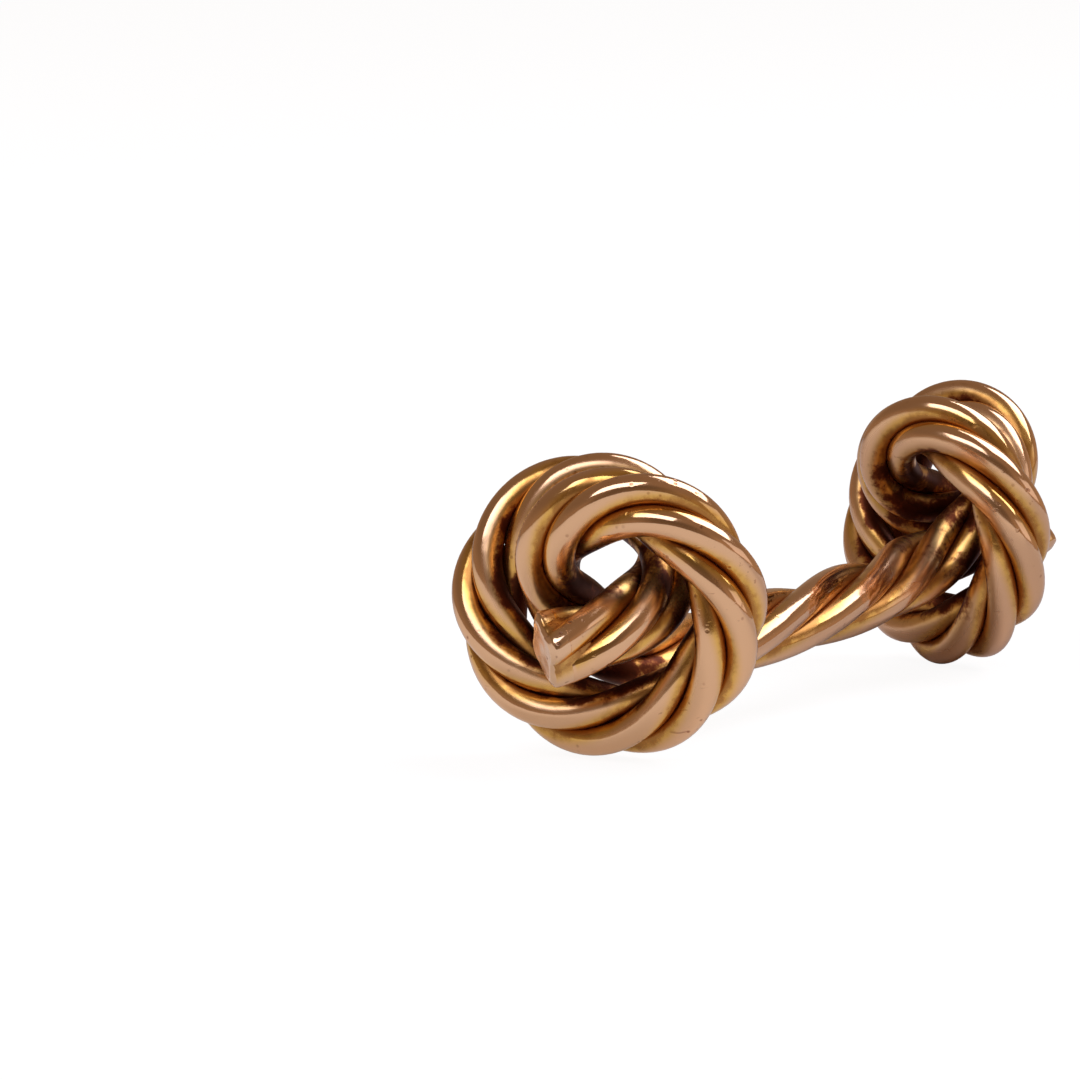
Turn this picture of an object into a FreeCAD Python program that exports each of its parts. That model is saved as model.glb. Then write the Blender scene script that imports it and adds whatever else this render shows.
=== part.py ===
import FreeCAD, Part
import math
import os

Vector = FreeCAD.Vector

# A rigid double-knot cufflink, in millimetres. One rope of hard gold wires runs from end to end.
# It is tied in an overhand knot at each end, and the straight run between the knots is the bar
# that the buttonholes of a cuff sit on. The bar lies along X and the link rests on z = 0.

# The rope
WIRE_DIAMETER = 0.85
WIRE_COUNT = 4
WIRE_CLEARANCE = 0.04      # air between neighbouring wires
KNOT_LAY_LENGTH = 10.5     # rope length of one turn of the lay, drawn tighter in the knots
BAR_LAY_LENGTH = 19.0      # the same in the bar
LAY_BLEND = 7.0            # rope length over which the lay changes
LAY_ANGLE = 20.0           # degrees, place of the first wire at the middle of the bar
LAY_HAND = -1              # left-hand lay
BEND_CROWDING = 0.75       # a turn of the lay is this much shorter inside the tightest bend

# The link
KNOT_SPACING = 20.5        # middle of one knot to middle of the other
NEAR_KNOT_TURN = 16.0      # degrees, each knot's twist about the upright
FAR_KNOT_TURN = -17.0
SOLDER_DEPTH = 1.6         # solder drawn into the hollow of the lay at a cut end
SOLDER_CLEARANCE = 0.02    # air round the solder

# Middle line of one knot as control points, in rope diameters: x to the right as the outer face
# is seen, n outwards from the bar, z up. The loop has a half-turn symmetry about the upright,
# so one half is listed, from the lowest point round the back of the knot to its eye.
HALF_LOOP = [
    (0.00, 0.00, -1.62),
    (-1.07, -0.09, -1.25),
    (-1.74, -0.29, -0.24),
    (-1.57, -0.56, 0.70),
    (-0.78, -0.75, 1.42),
    (0.15, -0.76, 1.33),
    (0.70, -0.53, 0.73),
]
# Through the eye outwards to the cut end of each knot, and inwards to the bar
NEAR_TAIL = [(0.72, 0.06, 0.09), (0.27, 0.82, -0.26), (-0.55, 1.29, -0.46)]
FAR_TAIL = [(0.71, 0.07, 0.11), (0.22, 1.00, -0.05), (-0.24, 1.15, -0.34), (-0.44, 1.20, -0.62)]
NEAR_LEAD_IN = [(-0.72, -0.06, 0.09), (-0.05, -0.75, -0.91)]
FAR_LEAD_IN = [(-0.69, 0.19, 0.00), (-0.24, -0.54, -0.48)]
# The bar: share of the way from its middle to the middle of a knot, and height in rope diameters
BAR = [(-0.55, -0.90), (0.00, -0.81), (0.55, -0.75)]

STEPS_PER_STATION = 12     # fine steps of the middle line between two stations of a wire
STATION_LENGTH = 0.95      # about this far from one station of a wire to the next
SPLINE_DEGREE = 3
SELF_SKIP = 4.0            # wire diameters along one wire that don't count as a gap to itself

gauge = WIRE_DIAMETER + WIRE_CLEARANCE
half_step = math.pi / WIRE_COUNT
crowding = math.pi * gauge / (math.tan(half_step) * KNOT_LAY_LENGTH * BEND_CROWDING)
PITCH_RADIUS = gauge / (2 * math.sin(half_step)) / math.sqrt(1 - crowding ** 2)
ROPE_DIAMETER = 2 * PITCH_RADIUS + WIRE_DIAMETER
SOLDER_RADIUS = PITCH_RADIUS - WIRE_DIAMETER / 2 - SOLDER_CLEARANCE


def half_turn(points):
    return [(-x, -n, z) for x, n, z in points]


def placed_knot(side, turn, tail, lead_in):
    """Control points of a knot in millimetres, from its cut end to the bar; side is -1 or 1."""
    c = math.cos(math.radians(turn))
    s = math.sin(math.radians(turn))
    points = tail[::-1] + HALF_LOOP[::-1] + half_turn(HALF_LOOP[1:]) + lead_in
    placed = []
    for x, n, z in points:
        along = (n * c - x * s) * ROPE_DIAMETER + KNOT_SPACING / 2
        across = (n * s + x * c) * ROPE_DIAMETER
        placed.append(Vector(side * along, side * across, z * ROPE_DIAMETER))
    return placed


def spline_point(points, t):
    """Point at t from 0 to 1 on the clamped even B-spline of the control points."""
    spans = len(points) - SPLINE_DEGREE

    def knot(i):
        return min(max(i - SPLINE_DEGREE, 0), spans)

    u = t * spans
    span = min(int(u), spans - 1) + SPLINE_DEGREE
    work = points[span - SPLINE_DEGREE:span + 1]
    for level in range(1, SPLINE_DEGREE + 1):
        for j in range(SPLINE_DEGREE, level - 1, -1):
            low = knot(j + span - SPLINE_DEGREE)
            high = knot(j + 1 + span - level)
            a = (u - low) / (high - low)
            work[j] = work[j - 1] * (1 - a) + work[j] * a
    return work[SPLINE_DEGREE]


def unit(v):
    return v / v.Length


def middle_line():
    """Evenly spaced points of the rope's middle line, and the distance between them."""
    near = placed_knot(-1, NEAR_KNOT_TURN, NEAR_TAIL, NEAR_LEAD_IN)
    far = placed_knot(1, FAR_KNOT_TURN, FAR_TAIL, FAR_LEAD_IN)
    bar = [Vector(share * KNOT_SPACING / 2, 0, z * ROPE_DIAMETER) for share, z in BAR]
    control = near + bar + far[::-1]
    count = 120 * len(control)
    raw = [spline_point(control, i / count) for i in range(count + 1)]
    run = [0.0]
    for a, b in zip(raw, raw[1:]):
        run.append(run[-1] + (b - a).Length)
    stations = math.ceil(run[-1] / STATION_LENGTH)
    steps = stations * STEPS_PER_STATION
    line = []
    at = 0
    for i in range(steps + 1):
        s = run[-1] * i / steps
        while at < len(run) - 2 and run[at + 1] < s:
            at += 1
        share = (s - run[at]) / (run[at + 1] - run[at])
        line.append(raw[at] * (1 - share) + raw[at + 1] * share)
    return line, run[-1] / steps


def frames(line):
    """Tangent and two normals at each point; the normals turn with the rope but don't twist."""
    result = []
    side = Vector(0, 0, 1)
    for i in range(len(line)):
        tangent = unit(line[min(i + 1, len(line) - 1)] - line[max(i - 1, 0)])
        side = unit(side - tangent * side.dot(tangent))
        result.append((tangent, side, tangent.cross(side)))
    return result


def lay_turns(count, step):
    """Turns of the lay at each point, zero at the middle of the bar."""
    middle = (count - 1) / 2
    turns = [0.0]
    for i in range(1, count):
        away = abs(i - 0.5 - middle) * step
        share = (away - KNOT_SPACING / 2 + LAY_BLEND) / LAY_BLEND
        share = min(max(share, 0), 1)
        share = share * share * (3 - 2 * share)
        turns.append(turns[-1] + step * ((1 - share) / BAR_LAY_LENGTH + share / KNOT_LAY_LENGTH))
    half = turns[-1] / 2
    return [t - half for t in turns]


def wire_line(k, line, sides, turns):
    points = []
    for p, (tangent, u, v), t in zip(line, sides, turns):
        angle = math.radians(LAY_ANGLE) + 2 * math.pi * (LAY_HAND * t + k / WIRE_COUNT)
        points.append(p + (u * math.cos(angle) + v * math.sin(angle)) * PITCH_RADIUS)
    return points


def arc_edge(a, direction, b):
    """Circular arc from a, starting along direction, to b."""
    chord = b - a
    corner = a + direction * (chord.Length ** 2 / (2 * chord.dot(direction)))
    across = corner - (a + b) / 2
    if across.Length < 1e-6 * chord.Length:
        return Part.LineSegment(a, b).toShape()
    half_chord = chord.Length / 2
    to_corner = (corner - a).Length
    sag = half_chord * across.Length / (to_corner + half_chord)
    return Part.Arc(a, (a + b) / 2 + unit(across) * sag, b).toShape()


def biarc_edges(a, t0, b, t1):
    """Two arcs from a to b that start along t0, end along t1 and meet smoothly."""
    v = b - a
    lack = 2 * (1 - t0.dot(t1))
    along = v.dot(t0 + t1)
    if lack < 1e-9:
        d = v.dot(v) / (2 * along)
    else:
        d = (math.sqrt(along ** 2 + 2 * lack * v.dot(v)) - along) / (2 * lack)
    joint = (a + t0 * d + b - t1 * d) / 2
    back = unit(b - t1 * d - a - t0 * d)
    return [arc_edge(a, t0, joint), arc_edge(joint, back, b)]


def swept(edges, start, direction, radius):
    """Round bar of a radius along a path that starts in a direction, its section in two halves."""
    ring = Part.Circle(start, direction, radius)
    halves = [ring.toShape(0, math.pi), ring.toShape(math.pi, 2 * math.pi)]
    return Part.Wire(edges).makePipeShell([Part.Wire(halves)], True, False)


def wire_path(points, sides):
    """Smooth path of arcs through every station of a wire; its ends run square to the cuts."""
    last = len(points) - 1
    tangents = {0: sides[0][0], last: sides[-1][0]}
    for i in range(STEPS_PER_STATION, last, STEPS_PER_STATION):
        tangents[i] = unit(points[i + 1] - points[i - 1])
    edges = []
    for i in range(0, last, STEPS_PER_STATION):
        j = i + STEPS_PER_STATION
        edges += biarc_edges(points[i], tangents[i], points[j], tangents[j])
    return edges, tangents[0]


def solder_plug(points, sides, step):
    """Solder in the hollow between the wires, flush with the cut end where the points start."""
    half = max(1, round(SOLDER_DEPTH / 2 / step))
    arc = Part.Arc(points[0], points[half], points[2 * half]).toShape()
    return swept([arc], points[0], sides[0][0], SOLDER_RADIUS)


def least_gap(wires, step):
    """Least air between the wires, on their points, a wire's far stretches with itself included."""
    skip = SELF_SKIP * WIRE_DIAMETER
    best = None
    for a in range(len(wires)):
        for b in range(a, len(wires)):
            for i in range(0, len(wires[a]), 3):
                p = wires[a][i]
                for j in range(i if a == b else 0, len(wires[b]), 3):
                    if a == b and (j - i) * step < skip:
                        continue
                    d = (p.x - wires[b][j].x) ** 2
                    d += (p.y - wires[b][j].y) ** 2
                    d += (p.z - wires[b][j].z) ** 2
                    if best is None or d < best[0]:
                        best = (d, a, b, i, j)
    d, a, b, i, j = best
    return math.sqrt(d) - WIRE_DIAMETER, a, b, i * step, j * step


line, step = middle_line()
sides = frames(line)
turns = lay_turns(len(line), step)
wires = [wire_line(k, line, sides, turns) for k in range(WIRE_COUNT)]

# The link stands on its lowest point, centred over its footprint
everywhere = [p for points in wires for p in points]
shift = Vector(
    -(min(p.x for p in everywhere) + max(p.x for p in everywhere)) / 2,
    -(min(p.y for p in everywhere) + max(p.y for p in everywhere)) / 2,
    WIRE_DIAMETER / 2 - min(p.z for p in everywhere),
)
line = [p + shift for p in line]
wires = [[p + shift for p in points] for points in wires]

pieces = {}
for k, points in enumerate(wires):
    edges, direction = wire_path(points, sides)
    solid = swept(edges, points[0], direction, WIRE_DIAMETER / 2)
    length = sum(edge.Length for edge in edges)
    section = math.pi * WIRE_DIAMETER ** 2 / 4
    tightest = min(e.Curve.Radius for e in edges if hasattr(e.Curve, "Radius"))
    print("wire", k + 1, "length", round(length, 2), "volume ratio",
          round(solid.Volume / (section * length), 5), "tightest arc", round(tightest, 2))
    pieces["wire_%d" % (k + 1)] = solid
pieces["solder_near"] = solder_plug(line, sides, step)
pieces["solder_far"] = solder_plug(line[::-1], sides[::-1], step)

print("rope diameter", round(ROPE_DIAMETER, 3), "length", round(step * (len(line) - 1), 2))
gap, a, b, i, j = least_gap(wires, step)
print("least gap", round(gap, 3), "wires", a + 1, b + 1, "at", round(i, 1), round(j, 1))

os.makedirs("parts", exist_ok=True)
for name, solid in pieces.items():
    print(name, len(solid.Solids), "solid", solid.isValid(), round(solid.Volume, 3))
    solid.Solids[0].exportStep("parts/%s.step" % name)
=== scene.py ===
# %% [markdown]
# # A double-knot cufflink in rose gold
# The link is one rope of four gold wires, tied in an overhand knot at each end. The straight run
# between the knots is the bar that the cuff sits on. This lesson dresses the measured model: it
# lays the same wires again as smooth metal, runs the cut ends together, and gives the gold its
# polish, its grooves darkened by patina and painted shade, and its small scratches.

import math

import bpy
import numpy as np
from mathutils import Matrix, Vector


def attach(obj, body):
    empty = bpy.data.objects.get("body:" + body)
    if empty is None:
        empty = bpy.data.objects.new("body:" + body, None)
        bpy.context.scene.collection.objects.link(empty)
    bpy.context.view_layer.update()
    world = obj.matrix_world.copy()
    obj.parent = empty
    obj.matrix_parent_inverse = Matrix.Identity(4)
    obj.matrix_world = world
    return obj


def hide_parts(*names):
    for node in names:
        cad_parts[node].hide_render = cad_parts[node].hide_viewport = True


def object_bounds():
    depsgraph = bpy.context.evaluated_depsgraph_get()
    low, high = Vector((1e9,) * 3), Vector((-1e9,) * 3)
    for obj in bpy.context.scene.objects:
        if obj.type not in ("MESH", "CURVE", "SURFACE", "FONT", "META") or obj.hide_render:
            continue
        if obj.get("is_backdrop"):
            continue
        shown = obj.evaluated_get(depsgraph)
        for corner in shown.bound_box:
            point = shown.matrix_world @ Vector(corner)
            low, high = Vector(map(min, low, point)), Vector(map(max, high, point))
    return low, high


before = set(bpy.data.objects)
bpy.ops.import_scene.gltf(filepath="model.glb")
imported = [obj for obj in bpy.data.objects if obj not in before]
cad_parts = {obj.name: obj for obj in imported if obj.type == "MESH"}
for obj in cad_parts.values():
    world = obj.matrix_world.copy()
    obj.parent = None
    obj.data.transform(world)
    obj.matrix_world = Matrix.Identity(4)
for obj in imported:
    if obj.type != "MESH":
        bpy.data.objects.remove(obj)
cad_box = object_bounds()
print("nodes:", sorted(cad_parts))
print("box of the solids:", [[round(v, 5) for v in corner] for corner in cad_box])

# %% [markdown]
# ## The rope's middle line
# A rope tied in a knot is easiest to draw as one curve down its middle. It could be a Bezier with
# a handle at each point, but a NURBS path needs only its control points and is smooth all along.
# Each knot's loop looks the same after half a turn about the upright, so half of it is listed, in
# rope diameters: x to the right as the knot's outer face is seen, n outwards, z up.

# %% Sizes of the rope and the route's control points
MM = 0.001
WIRE = 0.85 * MM                 # one wire's diameter
WIRES = 4
AIR = 0.04 * MM                  # between neighbouring wires
KNOT_LAY = 10.5 * MM             # rope length of one turn of the wires, in the knots
BAR_LAY = 19.0 * MM              # and in the bar
LAY_BLEND = 7.0 * MM             # rope length over which the lay changes from one to the other
LAY_START = math.radians(20)
CROWDING = 0.75                  # inside the tightest bend a turn has this share of its length
KNOT_SPACING = 20.5 * MM
NEAR_TURN, FAR_TURN = math.radians(16), math.radians(-17)

HALF_LOOP = [(0.00, 0.00, -1.62), (-1.07, -0.09, -1.25), (-1.74, -0.29, -0.24),
             (-1.57, -0.56, 0.70), (-0.78, -0.75, 1.42), (0.15, -0.76, 1.33),
             (0.70, -0.53, 0.73)]
NEAR_TAIL = [(0.72, 0.06, 0.09), (0.27, 0.82, -0.26), (-0.55, 1.29, -0.46)]
FAR_TAIL = [(0.71, 0.07, 0.11), (0.22, 1.00, -0.05), (-0.24, 1.15, -0.34), (-0.44, 1.20, -0.62)]
NEAR_LEAD_IN = [(-0.72, -0.06, 0.09), (-0.05, -0.75, -0.91)]
FAR_LEAD_IN = [(-0.69, 0.19, 0.00), (-0.24, -0.54, -0.48)]
BAR = [(-0.55, -0.90), (0.00, -0.81), (0.55, -0.75)]    # share of the half spacing, height

gauge = WIRE + AIR
crowd = math.pi * gauge / (math.tan(math.pi / WIRES) * KNOT_LAY * CROWDING)
PITCH_RADIUS = gauge / (2 * math.sin(math.pi / WIRES)) / math.sqrt(1 - crowd ** 2)
ROPE = 2 * PITCH_RADIUS + WIRE
print("rope diameter in mm:", round(ROPE / MM, 3))


def knot_points(side, turn, tail, lead_in):
    """Control points of one knot in metres, from its cut end to the bar."""
    loop = tail[::-1] + HALF_LOOP[::-1] + [(-x, -n, z) for x, n, z in HALF_LOOP[1:]] + lead_in
    c, s = math.cos(turn), math.sin(turn)
    points = []
    for x, n, z in loop:
        along = (n * c - x * s) * ROPE + KNOT_SPACING / 2
        across = (n * s + x * c) * ROPE
        points.append((side * along, side * across, z * ROPE))
    return points


# %% Draw the route as a NURBS path and read it back as points
WIRE_STEP = 0.11 * MM            # between the points that the wires are drawn through


def deselect_all():
    bpy.ops.object.select_all(action="DESELECT")


def new_path(name, kind, points, radii=None):
    """A curve object through points (POLY) or with them as control points (NURBS)."""
    deselect_all()
    bpy.ops.curve.primitive_nurbs_path_add(location=(0, 0, 0))
    path = bpy.context.object
    path.name = name
    path.data.splines.clear()
    spline = path.data.splines.new(kind)
    spline.points.add(len(points) - 1)
    spline.points.foreach_set("co", np.c_[np.asarray(points), np.ones(len(points))].ravel())
    if radii is not None:
        spline.points.foreach_set("radius", np.asarray(radii, np.float32))
    return path


def even_points(points, step):
    """The same line as evenly spaced points, with the distance along it."""
    run = np.r_[0, np.cumsum(np.linalg.norm(np.diff(points, axis=0), axis=1))]
    at = np.linspace(0, run[-1], int(round(run[-1] / step)) + 1)
    return np.stack([np.interp(at, run, points[:, k]) for k in range(3)], 1), at


near = knot_points(-1, NEAR_TURN, NEAR_TAIL, NEAR_LEAD_IN)
far = knot_points(1, FAR_TURN, FAR_TAIL, FAR_LEAD_IN)
bar = [(share * KNOT_SPACING / 2, 0, z * ROPE) for share, z in BAR]
route = new_path("route", "NURBS", near + bar + far[::-1])
spline = route.data.splines[0]
spline.order_u = 4
spline.use_endpoint_u = True
spline.resolution_u = 40
drawn = bpy.data.meshes.new_from_object(route)
fine = np.array([v.co for v in drawn.vertices])
bpy.data.meshes.remove(drawn)
bpy.data.objects.remove(route)
middle, along = even_points(fine, WIRE_STEP)
print("rope length in mm:", round(along[-1] / MM, 2), "points:", len(middle))

# %% [markdown]
# ## The lay of the wires
# The wires wind round the middle line. A frame is carried along the line without twisting, and
# each wire stands at its own angle in that frame, which grows with the distance: slowly in the bar,
# faster in the knots, where tying drew the lay tight. Round wires on this lay show where the rope
# has to move so that it rests on the floor, centred.

# %% Frame along the route and the turns of the lay
def carried_frames(line):
    """Tangent and two cross directions at each point, carried along without twist."""
    tangent = np.gradient(line, axis=0)
    tangent /= np.linalg.norm(tangent, axis=1)[:, None]
    side = np.zeros_like(line)
    v = np.array([0.0, 0.0, 1.0])
    for i, t in enumerate(tangent):
        v = v - t * v.dot(t)
        v = v / np.linalg.norm(v)
        side[i] = v
    return tangent, side, np.cross(tangent, side)


def lay_turns(s):
    """Turns of the lay along the rope, zero at the middle of the bar."""
    away = np.abs(s - s[-1] / 2)
    share = np.clip((away - KNOT_SPACING / 2 + LAY_BLEND) / LAY_BLEND, 0, 1)
    share = share * share * (3 - 2 * share)
    rate = (1 - share) / BAR_LAY + share / KNOT_LAY
    turns = np.r_[0, np.cumsum((rate[1:] + rate[:-1]) / 2 * np.diff(s))]
    return turns - turns[-1] / 2


tangent, side, up = carried_frames(middle)
turns = lay_turns(along)
lay_angles = [LAY_START + 2 * math.pi * (k / WIRES - turns) for k in range(WIRES)]
outwards = [np.cos(a)[:, None] * side + np.sin(a)[:, None] * up for a in lay_angles]
every = np.concatenate([middle + PITCH_RADIUS * out for out in outwards])
low, high = every.min(0), every.max(0)
shift = np.array([-(low[0] + high[0]) / 2, -(low[1] + high[1]) / 2, WIRE / 2 - low[2]])
middle = middle + shift
bend = np.linalg.norm(np.gradient(tangent, WIRE_STEP, axis=0), axis=1)
print("tightest bend radius in mm:", round(1 / bend.max() / MM, 3))
print("shift in mm:", np.round(shift / MM, 3))

# %% [markdown]
# ## Wires pressed together
# The rope was drawn tight, so its wires are pressed flat on one another inside and keep a round
# back outside. Four round tubes would leave slits that the real rope lacks. So each wire is the
# rope's middle line with a lobe as its bevel profile, and the tilt of the points winds it round.

# %% Profile of one wire in the rope
BACK = ROPE / 2 - 0.02 * MM      # from the rope's middle to a wire's back
GROOVE_FLOOR = 0.65 * MM         # from the rope's middle to the bottom of a groove
LOBE_MIDDLE = 0.60 * MM          # from the rope's middle to the middle of the back's curve
FLANK_AIR = 0.010 * MM           # kept free at each flank
INNER_EDGE = 2.5 * FLANK_AIR     # from the rope's middle to where the flanks meet
BACK_POINTS = 21


def lobe_profile(back):
    """Half-round back and two flat flanks that meet near the rope's middle, clockwise."""
    half = math.pi / WIRES
    high = back - LOBE_MIDDLE
    rim_u = GROOVE_FLOOR * math.cos(half)
    rim_v = GROOVE_FLOOR * math.sin(half) - FLANK_AIR
    wide = rim_v / math.sqrt(1 - ((rim_u - LOBE_MIDDLE) / high) ** 2)
    end = math.atan2(rim_v / wide, (rim_u - LOBE_MIDDLE) / high)
    t = np.linspace(end, -end, BACK_POINTS)
    arc = np.c_[LOBE_MIDDLE + high * np.cos(t), wide * np.sin(t)]
    return np.r_[arc, [(INNER_EDGE, 0)]]


def profile_curve(name, outline):
    """A closed flat curve, to be used as a bevel."""
    profile = new_path(name, "POLY", np.c_[outline, np.zeros(len(outline))])
    profile.data.splines[0].use_cyclic_u = True
    return profile


lobe = profile_curve("lobe", lobe_profile(BACK))
print("back and groove floor in mm:", round(BACK / MM, 3), round(GROOVE_FLOOR / MM, 3))

# %% Draw the four wires, which stop inside the soldered tips
HIDDEN_POINTS = 5                # route points at each end that the wires leave to the tip
MERGE_WITHIN = 0.0005 * MM
SHARP_EDGE = math.radians(35)    # the flanks' edges stay crisp, the backs are smooth


def drawn_along(name, stations, k, profile, radii=None):
    """A mesh with the profile carried along the route's stations, its top on the back of wire k."""
    line, out = middle[stations], outwards[k][stations]
    _, u, v = carried_frames(line)
    tilt = np.unwrap(np.arctan2((out * v).sum(1), (out * u).sum(1))) - math.pi / 2
    piece = new_path(name, "POLY", line, radii)
    piece.data.splines[0].points.foreach_set("tilt", np.asarray(tilt, np.float32))
    piece.data.dimensions = "3D"
    piece.data.twist_mode = "MINIMUM"
    piece.data.bevel_mode = "OBJECT"
    piece.data.bevel_object = profile
    piece.data.use_fill_caps = True
    bpy.ops.object.convert(target="MESH")
    piece = bpy.context.object
    bpy.ops.object.mode_set(mode="EDIT")
    bpy.ops.mesh.select_all(action="SELECT")
    bpy.ops.mesh.remove_doubles(threshold=MERGE_WITHIN)
    bpy.ops.mesh.normals_make_consistent(inside=False)
    bpy.ops.object.mode_set(mode="OBJECT")
    bpy.ops.object.shade_smooth_by_angle(angle=SHARP_EDGE)
    return piece


between_tips = np.arange(HIDDEN_POINTS, len(middle) - HIDDEN_POINTS)
wires = []
for k in range(WIRES):
    wires.append(drawn_along("gold_wire_%d" % (k + 1), between_tips, k, lobe))
    print(wires[-1].name, "vertices:", len(wires[-1].data.vertices))
bpy.data.objects.remove(lobe)

# %% [markdown]
# ## Cut ends run together
# At each end the wires are cut square and soldered, so the four backs become one soft-edged tip.
# Short ends of the four wires and a core of solder are joined, a voxel remesh melts them into one
# skin, and a smoothing pass rounds its edges, as the solder does when it flows.

# %% Make the two soldered tips
TIP_LENGTH = 1.2 * MM
EDGE_ROUND = 0.20 * MM           # length over which the edge rolls in to the cut face
SOLDER_SKIN = 0.012 * MM         # solder over the wires' backs
CORE_RADIUS = 0.84 * MM          # solder that fills the grooves
CORE_SIDES = 32
STUB_SHARES = (0.94, 1.0, 0.78)  # of the profile: at the inner end, before the edge, at the cut
CORE_SHARES = (0.8, 1.0, 0.8)
MELT_VOXEL = 0.028 * MM


def tip_radii(stations, inner, outer, end):
    """Share of the profile at each station, from the inner end of a tip to its rolled edge."""
    depth = np.abs(along[stations] - along[stations[-1]])
    t = np.clip(1 - depth / EDGE_ROUND, 0, 1)
    edge = 1 - (1 - end) * (1 - np.sqrt(1 - t * t))
    return edge * (outer + (inner - outer) * (depth / TIP_LENGTH) ** 2)


def soldered_tip(name, stations, stub_profile, core_profile):
    """Four wire ends and a core, melted into one skin."""
    radii = tip_radii(stations, *STUB_SHARES)
    stubs = [drawn_along("stub", stations, k, stub_profile, radii) for k in range(WIRES)]
    core_radii = tip_radii(stations, *CORE_SHARES)
    stubs.append(drawn_along("core", stations, 0, core_profile, core_radii))
    deselect_all()
    for stub in stubs:
        stub.select_set(True)
    bpy.context.view_layer.objects.active = stubs[0]
    bpy.ops.object.join()
    tip = bpy.context.object
    tip.name = name
    melt = tip.modifiers.new("melt", "REMESH")
    melt.mode = "VOXEL"
    melt.voxel_size = MELT_VOXEL
    bpy.ops.object.modifier_apply(modifier=melt.name)
    flow = tip.modifiers.new("flow", "SMOOTH")
    flow.factor = 0.5
    flow.iterations = 9
    bpy.ops.object.modifier_apply(modifier=flow.name)
    bpy.ops.object.shade_smooth()
    print(tip.name, "vertices:", len(tip.data.vertices))
    return tip


round_angles = np.linspace(0, 2 * math.pi, CORE_SIDES, endpoint=False)
core = profile_curve("core", CORE_RADIUS * np.c_[np.cos(round_angles), -np.sin(round_angles)])
swollen_lobe = profile_curve("swollen_lobe", lobe_profile(BACK + SOLDER_SKIN))
to_cut = np.arange(int(round(TIP_LENGTH / WIRE_STEP)), -1, -1)
tip_near = soldered_tip("solder_tip_near", to_cut, swollen_lobe, core)
tip_far = soldered_tip("solder_tip_far", len(middle) - 1 - to_cut, swollen_lobe, core)
for profile in (core, swollen_lobe):
    bpy.data.objects.remove(profile)

# %% [markdown]
# ## Where patina settles and shade is painted
# Old gold is bright where cuffs rub it and brown with patina where nothing reaches. Painting that by
# hand would take a weight for each spot. It is measured instead: a spot's groove value is its depth
# under the wires' backs, and its shelter is how much of its sky the rest of the rope takes up. The
# groove value gives patina with painted shade, and the shelter gives painted shade that is nearly
# black at the deepest.

# %% Measure groove and shelter on every vertex
SAMPLE = 2                       # every second point of the route stands for the rope
BATCH = 3000                     # vertices measured at a time
OWN_STRETCH = 1.3 * ROPE         # rope this near along the route doesn't shelter the spot
CUT_FACE = 0.7                   # a normal that lies this much along the rope is on a cut face
rope_points = middle[::SAMPLE]
rope_along = along[::SAMPLE]
rope_tangent = tangent[::SAMPLE]


def vertex_array(mesh, what):
    values = np.zeros(len(mesh.vertices) * 3, np.float32)
    mesh.vertices.foreach_get(what, values)
    return values.reshape(-1, 3)


def store(mesh, name, values):
    attribute = mesh.attributes.new(name, "FLOAT", "POINT")
    attribute.data.foreach_set("value", np.ascontiguousarray(values, np.float32))


def measure_recesses(piece):
    """Stores groove, 0 on a back and 1 in the bottom, and shelter, 0 in the open."""
    co = vertex_array(piece.data, "co")
    normal = vertex_array(piece.data, "normal")
    groove, shelter = np.zeros(len(co)), np.zeros(len(co))
    for start in range(0, len(co), BATCH):
        part = slice(start, start + BATCH)
        to = rope_points[None] - co[part][:, None]
        far_off = np.sqrt((to * to).sum(2))
        nearest = far_off.argmin(1)
        facing = np.einsum("vsk,vk->vs", to, normal[part]) / far_off
        itself = np.abs(rope_along[None] - rope_along[nearest][:, None]) < OWN_STRETCH
        patch = ROPE * SAMPLE * WIRE_STEP / (math.pi * np.maximum(far_off, ROPE / 2) ** 2)
        cover = np.where(itself, 0, patch * np.clip(facing, 0, 1)).sum(1)
        shelter[part] = 1 - np.exp(-cover)
        on_side = np.abs((normal[part] * rope_tangent[nearest]).sum(1)) < CUT_FACE
        depth = (BACK - far_off.min(1)) / (BACK - GROOVE_FLOOR)
        groove[part] = np.clip(depth, 0, 1) * on_side
    store(piece.data, "groove", groove)
    store(piece.data, "shelter", shelter)
    print(piece.name, "mean groove %.3f, mean shelter %.3f" % (groove.mean(), shelter.mean()))


for piece in wires + [tip_near, tip_far]:
    measure_recesses(piece)

# %% [markdown]
# ## Finishes
# The gold is a metal with a pinkish colour. Two effects are shared by the wires and the solder, so
# each is a node group that gives out masks: patina and painted shade in the recesses, with a painted
# reflection of neighbouring gold, and the fine marks of a century of wear. Image textures would need
# a map for each wire, and noise needs none.

# %% Helpers for node trees
def new_group(name, inputs, outputs):
    """An empty shader node group with named sockets, and its two end nodes."""
    group = bpy.data.node_groups.new(name, "ShaderNodeTree")
    for label, kind in inputs:
        group.interface.new_socket(label, in_out="INPUT", socket_type=kind)
    for label, kind in outputs:
        group.interface.new_socket(label, in_out="OUTPUT", socket_type=kind)
    return group, group.nodes.new("NodeGroupInput"), group.nodes.new("NodeGroupOutput")


def math_node(tree, operation, a, b, clamp=False):
    """A Math node; a and b are sockets or plain numbers."""
    node = tree.nodes.new("ShaderNodeMath")
    node.operation = operation
    node.use_clamp = clamp
    for index, value in enumerate((a, b)):
        if isinstance(value, (int, float)):
            node.inputs[index].default_value = value
        else:
            tree.links.new(value, node.inputs[index])
    return node.outputs[0]


def range_node(tree, value, low, high, to_low=0.0, to_high=1.0):
    """A soft step from to_low to to_high while the value goes from low to high."""
    node = tree.nodes.new("ShaderNodeMapRange")
    node.interpolation_type = "SMOOTHSTEP"
    tree.links.new(value, node.inputs["Value"])
    node.inputs["From Min"].default_value = low
    node.inputs["From Max"].default_value = high
    node.inputs["To Min"].default_value = to_low
    node.inputs["To Max"].default_value = to_high
    return node.outputs[0]


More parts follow.
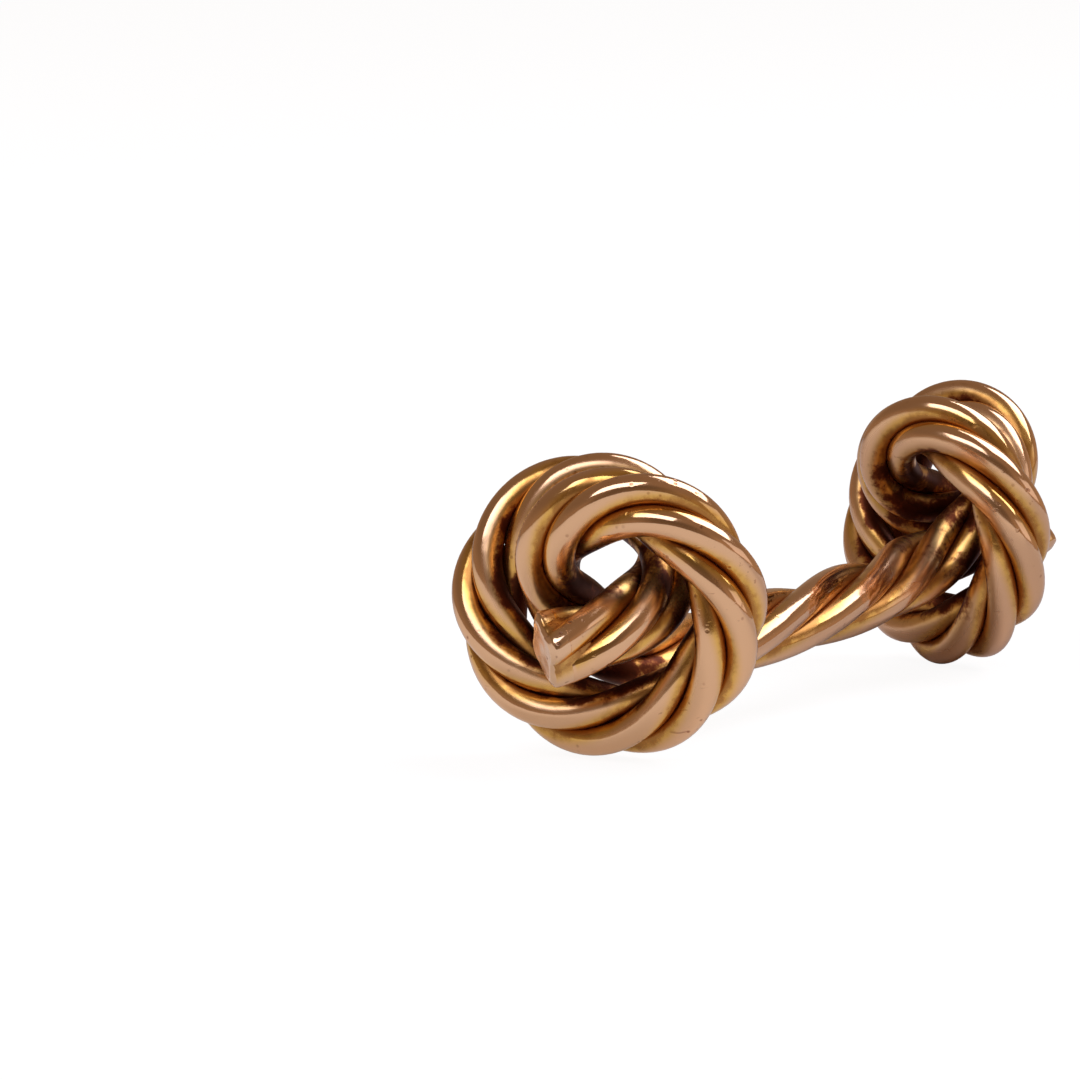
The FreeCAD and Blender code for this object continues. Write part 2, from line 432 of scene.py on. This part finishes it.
def noise_node(tree, vector, scale, detail, roughness=0.55):
    """Noise with scale cells to a metre."""
    node = tree.nodes.new("ShaderNodeTexNoise")
    tree.links.new(vector, node.inputs["Vector"])
    node.inputs["Scale"].default_value = scale
    node.inputs["Detail"].default_value = detail
    node.inputs["Roughness"].default_value = roughness
    return node.outputs["Fac"]


# %% Node group for the patina and painted shade in the recesses
RECESS_BLOTCHES = 1400.0            # blotches to a metre
RECESS_UNEVEN = 0.20               # how far blotches move the edge of the patina and painted shade
# Groove value: patina with painted shade. Shelter: painted shade, nearly black at the deepest. Both
# also give a painted reflection of neighbouring gold.
GROOVE_PATINA_SHADE, GROOVE_SHARE = (0.34, 0.74), 0.60
SHELTER_PAINTED_SHADE = (0.33, 0.60)
SHELTER_DEEP_SHADE, DEEP_SHADE_SHARE = (0.42, 0.68), 0.88
GROOVE_REFLECTION, SHELTER_REFLECTION = (0.10, 0.55), (0.15, 0.55)


def patina_shade_group():
    group, g_in, g_out = new_group(
        "patina_shade",
        [("Groove", "NodeSocketFloat"), ("Shelter", "NodeSocketFloat"),
         ("Vector", "NodeSocketVector")],
        [("Patina_with_shade", "NodeSocketFloat"), ("Painted_reflection", "NodeSocketFloat"), ("Painted_deep_shade", "NodeSocketFloat")])
    groove, shelter = g_in.outputs["Groove"], g_in.outputs["Shelter"]
    patchy = noise_node(group, g_in.outputs["Vector"], RECESS_BLOTCHES, 5.0, 0.65)
    uneven = range_node(group, patchy, 0.25, 0.75, -RECESS_UNEVEN, RECESS_UNEVEN)
    # Patina with painted shade in the grooves, and painted shade where the rope is sheltered.
    in_groove = range_node(group, math_node(group, "ADD", groove, uneven), *GROOVE_PATINA_SHADE)
    in_groove = math_node(group, "MULTIPLY", in_groove, GROOVE_SHARE)
    sheltered = math_node(group, "ADD", shelter, uneven)
    patina_and_shade = math_node(group, "MAXIMUM", in_groove, range_node(group, sheltered, *SHELTER_PAINTED_SHADE))
    # Painted shade: the most sheltered places are painted nearly black.
    deep_shade = range_node(group, sheltered, *SHELTER_DEEP_SHADE, 0.0, DEEP_SHADE_SHARE)
    # Painted reflection: grooves and sheltered flanks take a warmer, yellower colour, as of gold
    # mirrored in gold.
    reflection_mask = math_node(group, "MAXIMUM", range_node(group, groove, *GROOVE_REFLECTION),
                       range_node(group, shelter, *SHELTER_REFLECTION))
    for label, mask in (("Patina_with_shade", patina_and_shade), ("Painted_reflection", reflection_mask), ("Painted_deep_shade", deep_shade)):
        group.links.new(mask, g_out.inputs[label])
    return group


RECESS_MASKS = patina_shade_group()
print("group:", RECESS_MASKS.name, "nodes:", len(RECESS_MASKS.nodes))

# %% Node group for scratches, pits and the unevenness of hand work
SCRATCHES = 5200.0               # to a metre, before they are stretched
SCRATCH_TURN, SCRATCH_STRETCH = (0.5, 0.3, 0.9), (1.0, 0.12, 1.0)
SCRATCH_EDGE, SCRATCH_SHARE = (0.66, 0.72), 0.6
WORN_CLOUDS = 420.0              # patches of wear to a metre
SCRATCHED, PITTED = (0.50, 0.66), (0.48, 0.62)      # where in those patches each kind shows
PITS, PIT_EDGE = 2600.0, (0.06, 0.20)
SWELLS, SWELL_HEIGHT = 650.0, 5.0
RIPPLES, RIPPLE_HEIGHT = 2600.0, 0.3


def wear_marks_group():
    group, g_in, g_out = new_group(
        "wear_marks",
        [("Vector", "NodeSocketVector")],
        [("Marks", "NodeSocketFloat"), ("Height", "NodeSocketFloat")])
    vector = g_in.outputs["Vector"]
    stretched = group.nodes.new("ShaderNodeMapping")
    stretched.inputs["Rotation"].default_value = SCRATCH_TURN
    stretched.inputs["Scale"].default_value = SCRATCH_STRETCH
    group.links.new(vector, stretched.inputs["Vector"])
    streak = noise_node(group, stretched.outputs[0], SCRATCHES, 2.0)
    cloud = noise_node(group, vector, WORN_CLOUDS, 3.0)
    scratch = math_node(group, "MULTIPLY", range_node(group, streak, *SCRATCH_EDGE),
                        range_node(group, cloud, *SCRATCHED))
    scratch = math_node(group, "MULTIPLY", scratch, SCRATCH_SHARE)
    cells = group.nodes.new("ShaderNodeTexVoronoi")
    cells.inputs["Scale"].default_value = PITS
    group.links.new(vector, cells.inputs["Vector"])
    pit = range_node(group, cells.outputs["Distance"], *PIT_EDGE, 1.0, 0.0)
    pit = math_node(group, "MULTIPLY", pit, range_node(group, cloud, *PITTED))
    marks = math_node(group, "MAXIMUM", scratch, pit)
    swell = math_node(group, "MULTIPLY", noise_node(group, vector, SWELLS, 2.0), SWELL_HEIGHT)
    ripple = math_node(group, "MULTIPLY", noise_node(group, vector, RIPPLES, 2.0), RIPPLE_HEIGHT)
    hand_made = math_node(group, "ADD", swell, ripple)
    group.links.new(marks, g_out.inputs["Marks"])
    group.links.new(math_node(group, "SUBTRACT", hand_made, marks), g_out.inputs["Height"])
    return group


MARKS = wear_marks_group()
print("group:", MARKS.name, "nodes:", len(MARKS.nodes))

# %% [markdown]
# ## Rose gold and solder
# One function makes both metals. Rubbed backs show the crest colour, flanks that face other gold
# are painted warmer and yellower as a painted reflection, recesses carry a red-brown patina with
# painted shade, and painted shade makes the deepest places nearly black. The patina-and-shade mask,
# shelter and scuffs also take off some of the polish.

# %% Materials of the wires and the tips
MARK_STAIN = 0.7                 # share of the patina-and-shade colour that a mark takes
RECESS_ROUGHNESS = 0.46
DULLED, DULL_ROUGHNESS = (0.03, 0.22), 0.30         # shelter over which the polish goes
MARK_ROUGHNESS = 0.16
RELIEF_DEPTH = 0.02 * MM


def gold_finish(name, crest, reflected_gold, patina_and_shade, deep_shade, roughness, bump):
    """Polished gold with a crest colour, a painted reflection colour, a patina-and-shade colour and
    a painted deep-shade colour, the roughness of its backs and the strength of relief.
    """
    material = bpy.data.materials.new(name)
    material.use_nodes = True
    tree = material.node_tree
    shader = tree.nodes["Principled BSDF"]
    shader.inputs["Metallic"].default_value = 1.0
    coordinates = tree.nodes.new("ShaderNodeTexCoord").outputs["Object"]

    def attribute(label):
        node = tree.nodes.new("ShaderNodeAttribute")
        node.attribute_name = label
        return node.outputs["Fac"]

    def group(which):
        node = tree.nodes.new("ShaderNodeGroup")
        node.node_tree = which
        tree.links.new(coordinates, node.inputs["Vector"])
        return node

    def mixed(factor, a, b):
        node = tree.nodes.new("ShaderNodeMix")
        node.data_type = "RGBA"
        tree.links.new(factor, node.inputs["Factor"])
        for socket, value in ((node.inputs[6], a), (node.inputs[7], b)):
            if isinstance(value, tuple):
                socket.default_value = (*value, 1)
            else:
                tree.links.new(value, socket)
        return node.outputs[2]

    shelter = attribute("shelter")
    recess = group(RECESS_MASKS)
    tree.links.new(attribute("groove"), recess.inputs["Groove"])
    tree.links.new(shelter, recess.inputs["Shelter"])
    wear = group(MARKS)

    # Painted reflection: flanks that face other gold are painted warmer and yellower.
    colour = mixed(recess.outputs["Painted_reflection"], crest, reflected_gold)
    stained = math_node(tree, "MULTIPLY", wear.outputs["Marks"], MARK_STAIN)
    # Patina with painted shade in the recesses; wear marks take the same colour.
    colour = mixed(math_node(tree, "MAXIMUM", recess.outputs["Patina_with_shade"], stained), colour, patina_and_shade)
    # Painted shade: the deepest places are painted nearly black.
    colour = mixed(recess.outputs["Painted_deep_shade"], colour, deep_shade)
    tree.links.new(colour, shader.inputs["Base Color"])

    recess_rough = range_node(tree, recess.outputs["Patina_with_shade"], 0.0, 1.0, roughness, RECESS_ROUGHNESS)
    dulled = range_node(tree, shelter, *DULLED, roughness, DULL_ROUGHNESS)
    rough = math_node(tree, "MAXIMUM", recess_rough, dulled)
    scuffed = math_node(tree, "MULTIPLY", wear.outputs["Marks"], MARK_ROUGHNESS)
    tree.links.new(math_node(tree, "ADD", rough, scuffed, clamp=True), shader.inputs["Roughness"])

    relief = tree.nodes.new("ShaderNodeBump")
    relief.inputs["Strength"].default_value = bump
    relief.inputs["Distance"].default_value = RELIEF_DEPTH
    tree.links.new(wear.outputs["Height"], relief.inputs["Height"])
    tree.links.new(relief.outputs["Normal"], shader.inputs["Normal"])
    return material


rose_gold = gold_finish("rose_gold", crest=(0.92, 0.56, 0.32), reflected_gold=(0.90, 0.52, 0.13),
                        patina_and_shade=(0.29, 0.066, 0.022), deep_shade=(0.075, 0.021, 0.010),
                        roughness=0.11, bump=0.36)
solder = gold_finish("gold_solder", crest=(0.92, 0.59, 0.36), reflected_gold=(0.90, 0.53, 0.16),
                     patina_and_shade=(0.29, 0.068, 0.024), deep_shade=(0.075, 0.021, 0.010),
                     roughness=0.13, bump=0.30)
print("materials:", rose_gold.name, solder.name)

# %% [markdown]
# ## On the model
# Each dressed piece takes the place of one measured node and rides on the same body. The link is
# rigid, so there is only one body.

# %% Put the pieces on the model
for k, piece in enumerate(wires):
    piece.data.materials.clear()
    piece.data.materials.append(rose_gold)
    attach(piece, "root")
    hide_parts("wire_%d" % (k + 1))
for piece, node in ((tip_near, "solder_near"), (tip_far, "solder_far")):
    piece.data.materials.clear()
    piece.data.materials.append(solder)
    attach(piece, "root")
    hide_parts(node)
print("dressed pieces:", [piece.name for piece in wires + [tip_near, tip_far]])

# %% [markdown]
# ## Camera
# The view is a long lens close above the table, across the near knot towards the far one. Its place
# is given by two angles and a distance, and the lens by the photograph's width in pixels.

# %% Camera at the photograph's angle
AZIMUTH, ELEVATION = math.radians(-60), math.radians(7.5)
PHOTO_SIZE = 1080                # pixels
FOCAL_PIXELS = 7600
DISTANCE = 0.219                 # metres
LOOK_RIGHT, LOOK_UP = -7.03 * MM, 0.56 * MM

back = Vector((math.sin(AZIMUTH) * math.cos(ELEVATION), -math.cos(AZIMUTH) * math.cos(ELEVATION),
               math.sin(ELEVATION)))
right = Vector((math.cos(AZIMUTH), math.sin(AZIMUTH), 0))
upward = back.cross(right)
target = Vector(shift) + right * LOOK_RIGHT + upward * LOOK_UP
deselect_all()
bpy.ops.object.camera_add(location=target + back * DISTANCE)
camera = bpy.context.object
camera.rotation_euler = back.to_track_quat("Z", "Y").to_euler()
camera.data.sensor_width = 36
camera.data.lens = FOCAL_PIXELS * camera.data.sensor_width / PHOTO_SIZE
camera.data.clip_start = 0.01
camera.data.clip_end = 20
bpy.context.scene.camera = camera
bpy.context.scene.view_settings.view_transform = "Standard"
print("lens in mm:", round(camera.data.lens, 1))

# %% [markdown]
# ## Paper, room and lamps
# Polished metal is a picture of its surroundings. White paper gives the even tone of the lower
# sides, helped by a painted reflection: a white glow that the floor shows only to reflections,
# strongest at the near end. Two wide soft lamps and a faint card draw the long cream lights along
# the wires. A dim room between them, darker where the camera stands, gives each wire its brown
# lines.

# %% Floor that stays white to the camera, keeps a soft shadow and glows as a painted reflection
PAPER = (0.65, 0.63, 0.62, 1)
GLOW = 1.25                      # strength of the white that is mixed in
SEEN_SHARE = 0.74                # of that white, in what the camera sees
PAINTED_GLOW_SHARE = 0.25            # painted reflection: white glow in what the metal mirrors, at the near end
NEAR_END, FAR_END = -16 * MM, 12 * MM

deselect_all()
bpy.ops.mesh.primitive_plane_add(size=4.0, location=(0, 0, 0))
floor = bpy.context.object
floor.name = "floor"
paper = bpy.data.materials.new("white_paper")
paper.use_nodes = True
tree = paper.node_tree
plain = tree.nodes["Principled BSDF"]
plain.inputs["Base Color"].default_value = PAPER
plain.inputs["Roughness"].default_value = 0.9
plain.inputs["Specular IOR Level"].default_value = 0.0
white = tree.nodes.new("ShaderNodeEmission")
white.inputs["Color"].default_value = (1, 1, 1, 1)
white.inputs["Strength"].default_value = GLOW
rays = tree.nodes.new("ShaderNodeLightPath")
spot = tree.nodes.new("ShaderNodeSeparateXYZ")
tree.links.new(tree.nodes.new("ShaderNodeTexCoord").outputs["Object"], spot.inputs[0])
fading = range_node(tree, spot.outputs["X"], NEAR_END, FAR_END, PAINTED_GLOW_SHARE, 0.0)
# Painted reflection: glossy rays see the floor glow, strongest at the near end and gone at the far
# end.
painted_glow = math_node(tree, "MULTIPLY", rays.outputs["Is Glossy Ray"], fading)
seen = math_node(tree, "MULTIPLY", rays.outputs["Is Camera Ray"], SEEN_SHARE)
mix = tree.nodes.new("ShaderNodeMixShader")
tree.links.new(math_node(tree, "ADD", seen, painted_glow), mix.inputs["Fac"])
tree.links.new(plain.outputs[0], mix.inputs[1])
tree.links.new(white.outputs[0], mix.inputs[2])
tree.links.new(mix.outputs[0], tree.nodes["Material Output"].inputs["Surface"])
floor.data.materials.append(paper)
floor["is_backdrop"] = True
print("floor:", floor.name, "with", paper.name)

# %% A dim room, paler on the right and darker behind the camera
ROOM_LOW, ROOM_HIGH = 0.32, 0.22         # brightness at the horizon and from 30 degrees up
LEFT_SHARE, RIGHT_SHARE = 0.9, 1.15
CAMERA_SIDE, CAMERA_SHARE = (0.72, 0.99), 0.50
ROOM_TINT = (1.0, 0.70, 0.48)

world = bpy.data.worlds.new("studio")
bpy.context.scene.world = world
world.use_nodes = True
tree = world.node_tree
direction = tree.nodes.new("ShaderNodeTexCoord").outputs["Generated"]


def towards(vector):
    """How far the direction looked in agrees with a vector, from -1 to 1."""
    node = tree.nodes.new("ShaderNodeVectorMath")
    node.operation = "DOT_PRODUCT"
    tree.links.new(direction, node.inputs[0])
    node.inputs[1].default_value = vector
    return node.outputs["Value"]


room = range_node(tree, towards((0, 0, 1)), 0.0, 0.5, ROOM_LOW, ROOM_HIGH)
paler = range_node(tree, towards(right), -1.0, 1.0, LEFT_SHARE, RIGHT_SHARE)
darker = range_node(tree, towards(back), *CAMERA_SIDE, 1.0, CAMERA_SHARE)
room = math_node(tree, "MULTIPLY", math_node(tree, "MULTIPLY", room, paler), darker)
tint = tree.nodes.new("ShaderNodeCombineColor")
for channel, share in zip(("Red", "Green", "Blue"), ROOM_TINT):
    tree.links.new(math_node(tree, "MULTIPLY", room, share), tint.inputs[channel])
tree.links.new(tint.outputs[0], tree.nodes["Background"].inputs["Color"])
print("room:", world.name)

# %% Soft lamps, placed by their angle from the camera
LAMP_DISTANCE = 0.30             # metres from the link
LAMP_COLOUR = (0.94, 1.0, 1.20)


def soft_lamp(name, around, height, width, depth, brightness):
    """A rectangular lamp aimed at the link; around is in degrees to the camera's right."""
    a, e = math.radians(around), math.radians(height)
    flat = Vector((back.x, back.y, 0)).normalized()
    level = flat * math.cos(a) + right * math.sin(a)
    place = LAMP_DISTANCE * (math.cos(e) * level + Vector((0, 0, math.sin(e))))
    deselect_all()
    bpy.ops.object.light_add(type="AREA", location=place)
    lamp = bpy.context.object
    lamp.name = name
    lamp.data.shape = "RECTANGLE"
    lamp.data.size, lamp.data.size_y = width, depth
    lamp.data.color = LAMP_COLOUR
    lamp.data.energy = brightness * math.pi * width * depth
    lamp.rotation_euler = place.to_track_quat("Z", "Y").to_euler()
    print(lamp.name, "watts:", round(lamp.data.energy, 3))


soft_lamp("key", around=116, height=52, width=0.27, depth=0.20, brightness=2.6)
soft_lamp("fill", around=-26, height=50, width=0.25, depth=0.13, brightness=2.4)
soft_lamp("card", around=80, height=14, width=0.22, depth=0.10, brightness=0.45)

# %% [markdown]
# ## Size
# Both boxes, of the measured link and of the dressed one, are printed. The dressed link
# may not be larger than the measured one.

sizes = {"cad": [list(map(float, corner)) for corner in cad_box],
         "visual": [list(map(float, corner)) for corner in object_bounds()]}
for key, box in sizes.items():
    print(key, "box in mm:", [[round(v / MM, 3) for v in corner] for corner in box])
